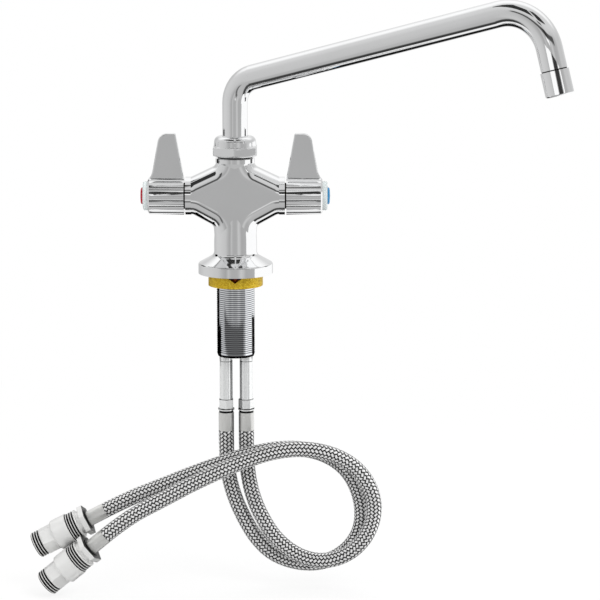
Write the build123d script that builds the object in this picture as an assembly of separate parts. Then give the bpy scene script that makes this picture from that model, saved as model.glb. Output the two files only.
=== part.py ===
from build123d import *
import math
import os

# Deck-mount two-handle faucet with a swing spout and two braided hoses.
# Sizes are millimetres. The origin is the centre of the flange's underside, +Z runs up the
# body, +X to the cold handle and -Y to the user.

# Clearances
THREAD_GAP = 0.05
RUNNING_GAP = 0.05
FREE_GAP = 0.3

# Body casting: flange, cone and column
FLANGE_RADIUS = 33.1
FLANGE_HEIGHT = 8.7
FLANGE_ROUND = 2.0
COLUMN_RADIUS = 19.0
CONE_HEIGHT = 16.6
CONE_ROUND = 5.0
TAPER_LOW = 33.0
TAPER_HIGH = 52.0
TAPER_RADIUS = 15.9
TAPER_ROUND = 80.0

# Body casting: cross arm, web and neck
ARM_HEIGHT = 68.7
ARM_RADIUS = 16.9
ARM_REACH = 43.8
ARM_RING = 5.1
WEB_THICKNESS = 32.4
WEB_ROUND = 15.0
WEB_CORNER = 5.0
WEB_TOP_DROP = 2.3
UPPER_GUSSET_REACH = 40.0
UPPER_GUSSET_RISE = 26.7
UPPER_GUSSET_HALF_WIDTH = 18.0
LOWER_GUSSET_REACH = 37.2
LOWER_GUSSET_DROP = 26.1
LOWER_GUSSET_HALF_WIDTH = 19.2
WEB_FOOT_HALF_WIDTH = 18.5
NECK_RADIUS = 17.3
NECK_FOOT = 26.0
NECK_SPREAD = 4.0
SHOULDER_RISE = 33.6
NECK_GROOVE_RADIUS = 14.9
NECK_GROOVE_WIDTH = 0.5
NECK_THREAD_RADIUS = 15.5
NECK_THREAD_LENGTH = 9.7

# Body casting: inside
NECK_BORE_RADIUS = 13.6
NECK_BORE_DEPTH = 26.0
CHAMBER_RADIUS = 11.0
CHAMBER_FLOOR = 22.0
WATERWAY_RADIUS = 4.0
OUTLET_RADIUS = 3.5
OUTLET_REACH = 28.0
SHANK_SOCKET = 12.0
PORT_RADIUS = 4.95
PORT_LENGTH = 12.0
GASKET_OUTER_RADIUS = 28.9
GASKET_RECESS = 1.2
GASKET_SQUEEZE = 0.3

# Mounting shank, bored for both hose stems, and its lock nut
STEM_SPACING = 18.0
HOSE_STEM_RADIUS = 5.75
STEM_BORE_GAP = 0.45
SHANK_WALL = 1.7
SHANK_RELIEF = 0.25
SHANK_LENGTH = 74.8
SHANK_CHAMFER = 2.8
SHANK_PITCH = 25.4 / 14
SHANK_THREAD_DEPTH = 0.9
LOCKNUT_RADIUS = 24.2
LOCKNUT_HEIGHT = 10.7
LOCKNUT_NOTCHES = 4
NOTCH_WIDTH = 16.0
NOTCH_DEPTH = 5.8

# Swivel nut on the neck
NUT_ACROSS_FLATS = 38.2
NUT_GAP = 2.05
NUT_HEIGHT = 17.55
NUT_DOME_HEIGHT = 9.3
NUT_DOME_STEP = 0.2
NUT_DOME_LEAN = 1.0
NUT_DOME_ROUND = 5.0
NUT_CHAMFER = 1.5
NUT_TURN = 30

# Spout: one bent tube, its sleeve and seals
TUBE_RADIUS = 11.1
TUBE_WALL = 1.2
SPOUT_SWING = -27.5
SPOUT_RISE = 15.0
SPOUT_REACH = 304.8
RISER_TOP = 169.4
RISER_BEND = 24.0
TIP_BEND = 37.0
TIP_DROP = 54.9
SLEEVE_DEPTH = 23.0
COLLAR_RADIUS = 14.8
COLLAR_HEIGHT = 1.6
THRUST_WASHER_HEIGHT = 1.0
O_RING_SECTION = 0.8
O_RING_SPACING = 7.0
O_RING_DROP = 8.0

# Aerator at the spout's outlet
AERATOR_RADIUS = 12.0
AERATOR_LENGTH = 22.0
AERATOR_GAP = 1.1
AERATOR_ROUND = 1.6
AERATOR_LIP = 2.0
AERATOR_OPENING_RADIUS = 9.2
TUBE_THREAD_RADIUS = 10.6
TUBE_THREAD_LENGTH = 9.0
AERATOR_GASKET_HEIGHT = 1.5
SCREEN_THICKNESS = 0.7
SCREEN_PITCH = 2.1
SCREEN_HOLE_RADIUS = 0.7
INSERT_HOLE_RADIUS = 1.1
INSERT_RING_SPACING = 3.4
INSERT_RING_COUNT = 3

# Cartridge, one in each end of the arm; places run outwards from the body's axis
CARTRIDGE_WAIST_RADIUS = 9.7
CARTRIDGE_WAIST_START = 25.5
CARTRIDGE_WAIST_END = 38.0
CARTRIDGE_HEX = 20.0
CARTRIDGE_HEX_LENGTH = 7.0
DISC_CHAMBER_RADIUS = 8.2
DISC_CHAMBER_END = 34.0
WINDOW_WIDTH = 6.0
WINDOW_COUNT = 4
SEAL_HEIGHT = 2.2
SEAL_INNER_RADIUS = 6.4
DISC_THICKNESS = 3.0
DISC_PORT_RADIUS = 2.0
DISC_PORT_OFFSET = 4.2
DRIVE_KEY_WIDTH = 4.0
DRIVE_KEY_DEPTH = 1.4
STEM_RADIUS = 5.0
STEM_SHOULDER_GAP = 1.0
STEM_O_RING_SECTION = 0.75
STEM_O_RING_PLACE = 43.0
SPLINE_LENGTH = 13.0
SPLINE_RADIUS = 4.0
SPLINE_TEETH = 12
SPLINE_TOOTH_DEPTH = 0.5
SCREW_RADIUS = 2.0
SCREW_HEAD_RADIUS = 3.8
SCREW_HEAD_HEIGHT = 3.0
SCREW_LENGTH = 12.0

# Handle: fluted hub with a lever blade, whose edges are measured from the hub's inner end
HUB_RADIUS = 16.9
HUB_DRAFT = 0.7
HUB_GAP = 1.3
HUB_LENGTH = 31.8
HUB_CHAMFER_LENGTH = 1.4
HUB_CHAMFER_DEPTH = 2.3
FLUTE_COUNT = 12
FLUTE_RADIUS = 6.5
FLUTE_DEPTH = 1.2
HUB_BORE_RADIUS = 12.0
HUB_FLOOR_GAP = 1.0
SCREW_SEAT_GAP = 1.5
BLADE_THICKNESS = 7.0
BLADE_ROUND = 1.3
BLADE_TOP = 55.3
BLADE_BASE = 16.5
BLADE_INNER_STEP = 0.2
BLADE_INNER_LEAN = 7.1
BLADE_FOOT_ROUND = 3.0
BLADE_TOP_WIDTH = 21.6
BLADE_BASE_WIDTH = 28.0
BLADE_FLARE_WIDTH = 30.8
BLADE_FLARE_RISE = 4.0
BLADE_FLARE_SINK = 2.0
BLADE_TIP_ROUND = 8.5
BLADE_CORNER_ROUND = 1.6
BLADE_FLARE_ROUND = 6.0

# Index cap and dot
CAP_RADIUS = 12.85
CAP_HEIGHT = 4.4
CAP_CHAMFER = 1.1
CAP_PLUG_RADIUS = 8.9
CAP_PLUG_LENGTH = 3.4
DOT_RADIUS = 7.5
DOT_SEAT_DEPTH = 0.8
DOT_HEIGHT = 2.0
DOT_CROWN = 0.5
DOT_ROUND = 1.6

# Hose stems, collars and ferrules, hanging side by side out of the shank
HOSE_STEM_BORE = 3.0
INLET_NOSE_RADIUS = 4.0
INLET_NOSE_LENGTH = 3.5
INLET_O_RING_SECTION = 0.45
COLLAR_NUT_TOP = -114.7
COLLAR_NUT_HEIGHT = 8.7
COLLAR_NUT_HEX = 12.2
COLLAR_NUT_CHAMFER = 0.6
COLLAR_NUT_BEAD_RADIUS = 7.3
COLLAR_NUT_BEAD_HEIGHT = 1.2
COLLAR_NUT_NECK = 2.4
COLLAR_NUT_NECK_RADIUS = 6.4
BARB_RADIUS = 4.45
FERRULE_RADIUS = 6.9
FERRULE_LENGTH = 16.5
CRIMP_ACROSS_FLATS = 13.4
CRIMP_FLATS = 8

# Braided hoses: each list follows one hose from its upper ferrule to its lower one
HOSE_RADIUS = 7.0
HOSE_BORE = 4.0
FERRULE_TOP = COLLAR_NUT_TOP - COLLAR_NUT_HEIGHT - COLLAR_NUT_BEAD_HEIGHT - COLLAR_NUT_NECK
HOSE_TOP = FERRULE_TOP - FERRULE_LENGTH
HOT_ROUTE = [
    (-STEM_SPACING / 2, 0, HOSE_TOP), (-STEM_SPACING / 2, 0, -162.0), (-7.6, -1, -184.2),
    (-1.8, -2, -205.4), (5.9, -3, -222.8), (16.2, -4, -241.2), (31.1, -5, -256.9),
    (51.0, -6, -265.0), (72.7, -8, -265.9), (90.8, -10, -259.2), (104.7, -12, -246.4),
    (112.7, -13, -229.4), (112.9, -14, -208.6), (106.6, -15, -188.0), (94.9, -16.5, -171.5),
    (77.0, -18, -160.3), (56.4, -18.5, -156.0), (38.0, -18.5, -156.3), (20.7, -18.5, -159.2),
    (2.9, -18.5, -164.2), (-17.0, -18.5, -171.0), (-42.0, -18.8, -180.3),
    (-69.0, -19, -191.4), (-95.2, -19.2, -201.6), (-117.1, -19.2, -213.0),
]
COLD_ROUTE = [
    (STEM_SPACING / 2, 0, HOSE_TOP), (STEM_SPACING / 2, 0, -162.0), (10.2, -2.5, -183.7),
    (14.8, -6, -203.8), (22.2, -10, -220.6), (33.5, -14, -238.4), (49.2, -18, -252.1),
    (69.0, -22, -259.4), (90.5, -25, -257.1), (109.3, -27.5, -244.9), (121.2, -29, -226.1),
    (124.4, -30.5, -204.6), (117.8, -32, -183.2), (103.1, -33.5, -166.2),
    (82.2, -35.2, -155.6), (58.2, -36.6, -151.7), (35.2, -37.4, -154.0),
    (14.0, -38, -160.4), (-9.0, -38.2, -169.8), (-36.0, -38.3, -182.3),
    (-66.7, -38.1, -199.2), (-96.1, -37.4, -214.9), (-116.0, -36.3, -231.6),
]

# End fittings and adapters; distances run along the hose's axis from the end of the braid
END_NIPPLE_RADIUS = 4.9
END_BORE = 3.2
END_SHOULDER_RADIUS = 9.0
END_SHOULDER_LENGTH = 1.0
END_HEX = 24.6
END_HEX_LENGTH = 4.9
END_HEX_TURN = 30
END_NECK_RADIUS = 11.0
END_NECK_LENGTH = 3.6
END_THREAD_RADIUS = 13.2
END_THREAD_LENGTH = 20.8
END_THREAD_SHOWN = 9.4
COARSE_PITCH = 2.4
COARSE_DEPTH = 1.2
ADAPTER_RADIUS = 14.0
ADAPTER_SLEEVE_LENGTH = 15.4
ADAPTER_CHAMFER = 1.5
ADAPTER_HEX = 22.0
ADAPTER_HEX_LENGTH = 11.0
ADAPTER_THREAD_RADIUS = 12.0
ADAPTER_THREAD_LENGTH = 8.7
ADAPTER_THREAD_CHAMFER = 1.0
ADAPTER_BORE = 7.5
ADAPTER_WASHER_HEIGHT = 1.5

# Places worked out from the sizes above
SHANK_BORE_RADIUS = STEM_SPACING / 2 + HOSE_STEM_RADIUS + STEM_BORE_GAP
SHANK_RADIUS = SHANK_BORE_RADIUS + SHANK_WALL
SHOULDER = ARM_HEIGHT + SHOULDER_RISE
NECK_TOP = SHOULDER + NECK_THREAD_LENGTH
NUT_BOTTOM = SHOULDER + NUT_GAP
NUT_TOP = NUT_BOTTOM + NUT_HEIGHT
COLLAR_TOP = NECK_TOP + COLLAR_HEIGHT
WASHER_TOP = COLLAR_TOP + THRUST_WASHER_HEIGHT
SLEEVE_RADIUS = NECK_BORE_RADIUS - RUNNING_GAP
SLEEVE_BOTTOM = NECK_TOP - SLEEVE_DEPTH
PORT_TOP = SHANK_SOCKET + PORT_LENGTH
LOCKNUT_TOP = -GASKET_SQUEEZE
LOCKNUT_BOTTOM = LOCKNUT_TOP - LOCKNUT_HEIGHT
SHANK_HEAD_RADIUS = SHANK_RADIUS - SHANK_RELIEF
HUB_START = ARM_REACH + HUB_GAP
HUB_END = HUB_START + HUB_LENGTH
CARTRIDGE_END = ARM_REACH + CARTRIDGE_HEX_LENGTH
STEM_SHOULDER = CARTRIDGE_END + STEM_SHOULDER_GAP
STEM_END = STEM_SHOULDER + SPLINE_LENGTH
HUB_FLOOR = STEM_SHOULDER + HUB_FLOOR_GAP
SCREW_SEAT = STEM_END + SCREW_SEAT_GAP
CAP_TOP = HUB_END + CAP_HEIGHT
SEAL_TOP = CHAMBER_FLOOR + SEAL_HEIGHT
FIXED_DISC_TOP = SEAL_TOP + DISC_THICKNESS
TURNING_DISC_TOP = FIXED_DISC_TOP + DISC_THICKNESS
TIP_TILT = math.radians(SPOUT_RISE)
SIDES = {"hot": -1, "cold": 1}
ROUTES = {"hot": HOT_ROUTE, "cold": COLD_ROUTE}
COLLAR_NUT_TURN = {"hot": 30, "cold": 0}


# Shapes used again and again

def turned(corners):
    """A solid turned about the Z axis from its (radius, height) corners."""
    return revolve(Plane.XZ * make_face(Polyline(*corners, close=True)), Axis.Z)


def disc(radius, low, high):
    """A plain cylinder on the Z axis between two heights."""
    return turned([(0, low), (radius, low), (radius, high), (0, high)])


def ring(outer, inner, low, high):
    """A plain ring on the Z axis between two heights."""
    return turned([(inner, low), (outer, low), (outer, high), (inner, high)])


def hexagon(across_flats, low, high, turn=0):
    """A hexagonal bar on the Z axis between two heights."""
    outline = RegularPolygon(across_flats / 2, 6, major_radius=False, rotation=turn)
    return Pos(0, 0, low) * extrude(outline, high - low)


def threaded(radius, depth, pitch, low, high):
    """A bar on the Z axis with thread ridges cut into it as rings."""
    half_groove = 0.4 * pitch
    turns = math.floor((high - low) / pitch)
    first = low + (high - low - turns * pitch) / 2 + pitch / 2
    corners = [(0, low), (radius, low)]
    for turn in range(turns):
        groove = first + turn * pitch
        corners.append((radius, groove - half_groove))
        corners.append((radius - depth, groove))
        corners.append((radius, groove + half_groove))
    corners += [(radius, high), (0, high)]
    return turned(corners)


def seal_ring(section, centre_radius, height):
    """A round-section seal ring lying in a level plane."""
    return Pos(0, 0, height) * Torus(centre_radius, section)


def arm_plane(sign):
    """The frame of one end of the arm: local Z runs outwards and local X up."""
    return Plane(origin=(0, 0, ARM_HEIGHT), x_dir=(0, 0, 1), z_dir=(sign, 0, 0))


# Body casting

def flange_and_column():
    edge = FilletPolyline(
        (FLANGE_RADIUS, 0), (FLANGE_RADIUS, FLANGE_HEIGHT), (COLUMN_RADIUS, CONE_HEIGHT),
        (COLUMN_RADIUS, TAPER_LOW), (TAPER_RADIUS, TAPER_HIGH),
        radius=[FLANGE_ROUND, CONE_ROUND, TAPER_ROUND])
    core = Polyline((TAPER_RADIUS, TAPER_HIGH), (0, TAPER_HIGH), (0, 0), (FLANGE_RADIUS, 0))
    return revolve(Plane.XZ * make_face(edge + core), Axis.Z)


def web():
    """The flat-fronted cross that blends arm, column and neck, its edges fully rounded."""
    half = WEB_THICKNESS / 2
    reach = ARM_REACH - ARM_RING / 2
    top = SHOULDER - WEB_TOP_DROP
    quarter_up = [
        (reach, ARM_HEIGHT + half), (UPPER_GUSSET_REACH, ARM_HEIGHT + half),
        (UPPER_GUSSET_HALF_WIDTH, ARM_HEIGHT + UPPER_GUSSET_RISE), (half, top)]
    quarter_down = [
        (WEB_FOOT_HALF_WIDTH, TAPER_LOW - 1),
        (LOWER_GUSSET_HALF_WIDTH, ARM_HEIGHT - LOWER_GUSSET_DROP),
        (LOWER_GUSSET_REACH, ARM_HEIGHT - half), (reach, ARM_HEIGHT - half)]
    right = quarter_down + quarter_up
    left = [(-x, z) for x, z in reversed(right)]
    outline = make_face(Polyline(*right, *left, close=True))
    inner_corners = [
        v for v in outline.vertices()
        if abs(v.X) < reach - 1 and TAPER_LOW < v.Y < top - 1]
    outline = fillet(inner_corners, WEB_CORNER)
    plate = extrude(Plane.XZ * outline, half, both=True)
    long_edges = [
        e for e in plate.edges()
        if abs(abs(e.center().Y) - half) < 0.01
        and abs(e.center().X) > 1 and abs(e.center().X) < reach - 0.01]
    return fillet(long_edges, WEB_ROUND)


def body_casting():
    casting = flange_and_column() + web()
    foot = ARM_HEIGHT + NECK_FOOT
    casting += turned([
        (0, foot), (WEB_THICKNESS / 2, foot), (NECK_RADIUS, foot + NECK_SPREAD),
        (NECK_RADIUS, SHOULDER), (0, SHOULDER)])
    casting += disc(NECK_GROOVE_RADIUS, SHOULDER, SHOULDER + NECK_GROOVE_WIDTH)
    casting += disc(NECK_THREAD_RADIUS, SHOULDER + NECK_GROOVE_WIDTH, NECK_TOP)
    for sign in SIDES.values():
        casting += arm_plane(sign) * disc(ARM_RADIUS, ARM_REACH - ARM_RING, ARM_REACH)
    casting -= disc(NECK_BORE_RADIUS, NECK_TOP - NECK_BORE_DEPTH, NECK_TOP)
    casting -= disc(SHANK_HEAD_RADIUS + THREAD_GAP, 0, SHANK_SOCKET)
    casting -= disc(GASKET_OUTER_RADIUS + FREE_GAP, 0, GASKET_RECESS)
    for sign in SIDES.values():
        casting -= waterways(sign)
    return casting


def waterways(sign):
    """What is bored out of the casting for one cartridge and its inlet."""
    x = sign * STEM_SPACING / 2
    hollow = arm_plane(sign) * disc(CHAMBER_RADIUS, CHAMBER_FLOOR, ARM_REACH)
    hollow += arm_plane(sign) * disc(WATERWAY_RADIUS, STEM_SPACING / 2, CHAMBER_FLOOR)
    hollow += Pos(x, 0, 0) * disc(WATERWAY_RADIUS, PORT_TOP, ARM_HEIGHT)
    hollow += Pos(x, 0, ARM_HEIGHT) * Sphere(WATERWAY_RADIUS)
    hollow += Pos(x, 0, 0) * disc(PORT_RADIUS, SHANK_SOCKET, PORT_TOP)
    low = Vector(sign * OUTLET_REACH, 0, ARM_HEIGHT + CHAMBER_RADIUS / 2)
    high = Vector(sign * NECK_BORE_RADIUS / 2, 0, NECK_TOP - NECK_BORE_DEPTH + OUTLET_RADIUS / 2)
    drill = Plane(origin=low, z_dir=high - low)
    hollow += drill * disc(OUTLET_RADIUS, 0, (high - low).length)
    return hollow


def base_gasket():
    return ring(
        GASKET_OUTER_RADIUS, SHANK_RADIUS + FREE_GAP, -GASKET_SQUEEZE, GASKET_RECESS)


# Mounting shank and lock nut

def mounting_shank():
    """The shank; its thread is relieved a little from the lock nut up into the casting."""
    shank = threaded(
        SHANK_RADIUS, SHANK_THREAD_DEPTH, SHANK_PITCH, SHANK_CHAMFER - SHANK_LENGTH,
        LOCKNUT_BOTTOM)
    shank += threaded(
        SHANK_HEAD_RADIUS, SHANK_THREAD_DEPTH, SHANK_PITCH, LOCKNUT_BOTTOM, SHANK_SOCKET)
    tip = (SHANK_RADIUS + SHANK_BORE_RADIUS) / 2 - THREAD_GAP
    shank += turned([
        (0, -SHANK_LENGTH), (tip, -SHANK_LENGTH), (SHANK_RADIUS, SHANK_CHAMFER - SHANK_LENGTH),
        (0, SHANK_CHAMFER - SHANK_LENGTH)])
    return shank - disc(SHANK_BORE_RADIUS, -SHANK_LENGTH, SHANK_SOCKET)


def mounting_locknut():
    nut = ring(LOCKNUT_RADIUS, SHANK_RADIUS + THREAD_GAP, LOCKNUT_BOTTOM, LOCKNUT_TOP)
    notch = make_face(Polyline(
        (-NOTCH_WIDTH / 2, LOCKNUT_TOP), (NOTCH_WIDTH / 2, LOCKNUT_TOP),
        (0, LOCKNUT_TOP - NOTCH_DEPTH), close=True))
    wedge = extrude(Plane.XZ * notch, LOCKNUT_RADIUS + 1)
    for turn in range(LOCKNUT_NOTCHES):
        nut -= Rot(0, 0, turn * 360 / LOCKNUT_NOTCHES) * wedge
    return nut


# Swivel nut

def swivel_nut():
    """A hexagon chamfered below, with a round dome that starts just inside its flats."""
    hex_top = NUT_TOP - NUT_DOME_HEIGHT
    corner = NUT_ACROSS_FLATS / math.sqrt(3)
    blank = turned([
        (0, NUT_BOTTOM), (corner - 2 * NUT_CHAMFER, NUT_BOTTOM),
        (corner, NUT_BOTTOM + NUT_CHAMFER), (corner, hex_top), (0, hex_top)])
    nut = hexagon(NUT_ACROSS_FLATS, NUT_BOTTOM, hex_top, NUT_TURN) & blank
    foot = NUT_ACROSS_FLATS / 2 - NUT_DOME_STEP
    edge = FilletPolyline(
        (foot, hex_top), (foot - NUT_DOME_LEAN, NUT_TOP), (0, NUT_TOP), radius=NUT_DOME_ROUND)
    core = Polyline((0, NUT_TOP), (0, hex_top), (foot, hex_top))
    nut += revolve(Plane.XZ * make_face(edge + core), Axis.Z)
    nut -= disc(NECK_THREAD_RADIUS + THREAD_GAP, NUT_BOTTOM, WASHER_TOP)
    return nut - disc(TUBE_RADIUS + FREE_GAP, WASHER_TOP, NUT_TOP)


# Spout, turning in the neck

def spout_point(out, height):
    """A point of the spout's upright plane, at a distance from the body's axis."""
    swing = math.radians(SPOUT_SWING)
    return Vector(out * math.cos(swing), out * math.sin(swing), height)


def spout_corners():
    """The corners of the tube's centre line: foot, riser top, far bend and aerator joint."""
    drop = TIP_DROP + AERATOR_LENGTH
    bend_out = SPOUT_REACH - drop * math.sin(TIP_TILT)
    bend_height = RISER_TOP + bend_out * math.tan(TIP_TILT)
    joint_out = bend_out + TIP_DROP * math.sin(TIP_TILT)
    joint_height = bend_height - TIP_DROP * math.cos(TIP_TILT)
    return [
        spout_point(0, SLEEVE_BOTTOM), spout_point(0, RISER_TOP),
        spout_point(bend_out, bend_height), spout_point(joint_out, joint_height)]


def aerator_plane():
    """The frame of the outlet: origin at the joint, local Z along the stream."""
    bend, joint = spout_corners()[2:]
    return Plane(origin=joint, z_dir=joint - bend)


def spout_tube():
    path = FilletPolyline(*spout_corners(), radius=[RISER_BEND, TIP_BEND])
    start = Plane(origin=path @ 0, z_dir=path % 0)
    bore = TUBE_RADIUS - TUBE_WALL
    tube = sweep(start * Circle(TUBE_RADIUS), path=path)
    tube += aerator_plane() * disc(TUBE_THREAD_RADIUS, 0, TUBE_THREAD_LENGTH)
    tube -= sweep(start * Circle(bore), path=path)
    return tube - aerator_plane() * disc(bore, 0, TUBE_THREAD_LENGTH)


def o_ring_heights():
    top = NECK_TOP - O_RING_DROP
    return [top, top - O_RING_SPACING]


def o_ring_centre():
    return NECK_BORE_RADIUS - RUNNING_GAP / 2 - O_RING_SECTION


def spout_sleeve():
    sleeve = ring(SLEEVE_RADIUS, TUBE_RADIUS + THREAD_GAP, SLEEVE_BOTTOM, NECK_TOP)
    sleeve += ring(COLLAR_RADIUS, TUBE_RADIUS + THREAD_GAP, NECK_TOP, COLLAR_TOP)
    floor = o_ring_centre() - O_RING_SECTION - RUNNING_GAP
    for height in o_ring_heights():
        half = O_RING_SECTION + FREE_GAP
        sleeve -= ring(SLEEVE_RADIUS + 1, floor, height - half, height + half)
    return sleeve


def spout_orings():
    first, second = [
        seal_ring(O_RING_SECTION, o_ring_centre(), height) for height in o_ring_heights()]
    return first + second


def spout_thrust_washer():
    return ring(COLLAR_RADIUS, TUBE_RADIUS + FREE_GAP, COLLAR_TOP, WASHER_TOP)


# Aerator, built along the stream from the joint

def aerator_housing():
    edge = FilletPolyline(
        (AERATOR_RADIUS, AERATOR_GAP), (AERATOR_RADIUS, AERATOR_LENGTH),
        (AERATOR_OPENING_RADIUS, AERATOR_LENGTH), radius=AERATOR_ROUND)
    inside = TUBE_THREAD_RADIUS + THREAD_GAP
    floor = AERATOR_LENGTH - AERATOR_LIP
    wall = Polyline(
        (AERATOR_OPENING_RADIUS, AERATOR_LENGTH), (AERATOR_OPENING_RADIUS, floor),
        (inside, floor), (inside, AERATOR_GAP), (AERATOR_RADIUS, AERATOR_GAP))
    return revolve(Plane.XZ * make_face(edge + wall), Axis.Z)


def aerator_gasket():
    top = TUBE_THREAD_LENGTH + AERATOR_GASKET_HEIGHT
    return ring(TUBE_THREAD_RADIUS, AERATOR_OPENING_RADIUS, TUBE_THREAD_LENGTH, top)


def aerator_screen():
    low = TUBE_THREAD_LENGTH + AERATOR_GASKET_HEIGHT
    sheet = Sketch() + Circle(TUBE_THREAD_RADIUS)
    for place in GridLocations(SCREEN_PITCH, SCREEN_PITCH, 7, 7):
        if place.position.length + SCREEN_HOLE_RADIUS < AERATOR_OPENING_RADIUS - SCREEN_HOLE_RADIUS:
            sheet -= place * Circle(SCREEN_HOLE_RADIUS)
    return Pos(0, 0, low) * extrude(sheet, SCREEN_THICKNESS)


def aerator_insert():
    low = TUBE_THREAD_LENGTH + AERATOR_GASKET_HEIGHT + SCREEN_THICKNESS
    section = Sketch() + Circle(TUBE_THREAD_RADIUS)
    for step in range(INSERT_RING_COUNT):
        for place in PolarLocations(step * INSERT_RING_SPACING, max(1, 6 * step)):
            section -= place * Circle(INSERT_HOLE_RADIUS)
    return Pos(0, 0, low) * extrude(section, AERATOR_LENGTH - AERATOR_LIP - low)


# Cartridge, built outwards along its own axis

def cartridge_body():
    outer = CHAMBER_RADIUS - THREAD_GAP
    front = CHAMBER_FLOOR + FREE_GAP
    body = turned([
        (0, front), (outer, front), (outer, CARTRIDGE_WAIST_START),
        (CARTRIDGE_WAIST_RADIUS, CARTRIDGE_WAIST_START),
        (CARTRIDGE_WAIST_RADIUS, CARTRIDGE_WAIST_END), (outer, CARTRIDGE_WAIST_END),
        (outer, ARM_REACH), (0, ARM_REACH)])
    body += hexagon(CARTRIDGE_HEX, ARM_REACH, CARTRIDGE_END)
    body -= disc(DISC_CHAMBER_RADIUS, front, DISC_CHAMBER_END)
    body -= disc(STEM_RADIUS + RUNNING_GAP, DISC_CHAMBER_END, CARTRIDGE_END)
    window = Pos(0, 0, (FIXED_DISC_TOP + DISC_CHAMBER_END) / 2) * Box(
        CARTRIDGE_WAIST_RADIUS + 1, WINDOW_WIDTH, DISC_CHAMBER_END - FIXED_DISC_TOP,
        align=(Align.MIN, Align.CENTER, Align.CENTER))
    for place in PolarLocations(0, WINDOW_COUNT):
        body -= place * window
    return body


def seat_seal():
    return ring(DISC_CHAMBER_RADIUS - THREAD_GAP, SEAL_INNER_RADIUS, CHAMBER_FLOOR, SEAL_TOP)


def disc_with_ports(low, high, turn, gap):
    """A ceramic disc with two ports across its middle."""
    plate = disc(DISC_CHAMBER_RADIUS - gap, low, high)
    for offset in (-DISC_PORT_OFFSET, DISC_PORT_OFFSET):
        plate -= Rot(0, 0, turn) * Pos(offset, 0, 0) * disc(DISC_PORT_RADIUS, low, high)
    return plate


def disc_fixed():
    return disc_with_ports(SEAL_TOP, FIXED_DISC_TOP, 0, THREAD_GAP)


def drive_key(gap):
    """The tongue under the stem's flange, wider by a gap when it is the disc's slot."""
    width = DRIVE_KEY_WIDTH + 2 * gap
    depth = DRIVE_KEY_DEPTH + gap
    return Pos(0, 0, TURNING_DISC_TOP - depth / 2) * Box(
        width, 2 * DISC_CHAMBER_RADIUS - 2, depth)


def disc_turning():
    plate = disc_with_ports(FIXED_DISC_TOP, TURNING_DISC_TOP, 90, FREE_GAP)
    return plate - drive_key(RUNNING_GAP)


def spline(gap):
    """The stem's splined end, larger by a gap when it is the handle's socket."""
    core = disc(SPLINE_RADIUS - SPLINE_TOOTH_DEPTH + gap, STEM_SHOULDER, STEM_END + gap)
    tooth_width = math.pi * SPLINE_RADIUS / SPLINE_TEETH + 2 * gap
    length = STEM_END + gap - STEM_SHOULDER
    tooth = Pos(0, 0, STEM_SHOULDER) * Box(
        SPLINE_RADIUS + gap, tooth_width, length, align=(Align.MIN, Align.CENTER, Align.MIN))
    for place in PolarLocations(0, SPLINE_TEETH):
        core += place * tooth
    return core


def stem():
    flange_top = DISC_CHAMBER_END - FREE_GAP
    shaft = disc(DISC_CHAMBER_RADIUS - FREE_GAP, TURNING_DISC_TOP, flange_top)
    shaft += drive_key(0) & disc(DISC_CHAMBER_RADIUS - 1, SEAL_TOP, flange_top)
    shaft += disc(STEM_RADIUS, flange_top, STEM_SHOULDER)
    shaft += spline(0)
    half = STEM_O_RING_SECTION + RUNNING_GAP
    floor = stem_o_ring_centre() - half
    shaft -= ring(
        STEM_RADIUS + 1, floor, STEM_O_RING_PLACE - half, STEM_O_RING_PLACE + half)
    return shaft - disc(SCREW_RADIUS + THREAD_GAP, STEM_END - SCREW_LENGTH, STEM_END)


def stem_o_ring_centre():
    return STEM_RADIUS + RUNNING_GAP / 2 - STEM_O_RING_SECTION


def stem_oring():
    return seal_ring(STEM_O_RING_SECTION, stem_o_ring_centre(), STEM_O_RING_PLACE)


# Handle, built outwards along the arm with its blade along local X

def blade():
    inner_base = HUB_START + BLADE_INNER_STEP
    flare = HUB_START + BLADE_FLARE_WIDTH
    outline = FilletPolyline(
        (HUB_RADIUS / 2, inner_base), (BLADE_BASE, inner_base),
        (BLADE_TOP, inner_base + BLADE_INNER_LEAN), (BLADE_TOP, HUB_START + BLADE_TOP_WIDTH),
        (BLADE_BASE + BLADE_FLARE_RISE, HUB_START + BLADE_BASE_WIDTH),
        (HUB_RADIUS - BLADE_FLARE_SINK, flare), (HUB_RADIUS / 2, flare),
        radius=[BLADE_FOOT_ROUND, BLADE_CORNER_ROUND, BLADE_TIP_ROUND, BLADE_FLARE_ROUND, 1])
    foot = Line((HUB_RADIUS / 2, flare), (HUB_RADIUS / 2, inner_base))
    half = BLADE_THICKNESS / 2
    plate = extrude(Plane.XZ * make_face(outline + foot), half, both=True)
    long_edges = [
        e for e in plate.edges()
        if abs(abs(e.center().Y) - half) < 0.01 and e.center().X > HUB_RADIUS / 2 + 0.01]
    return fillet(long_edges, BLADE_ROUND)


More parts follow.
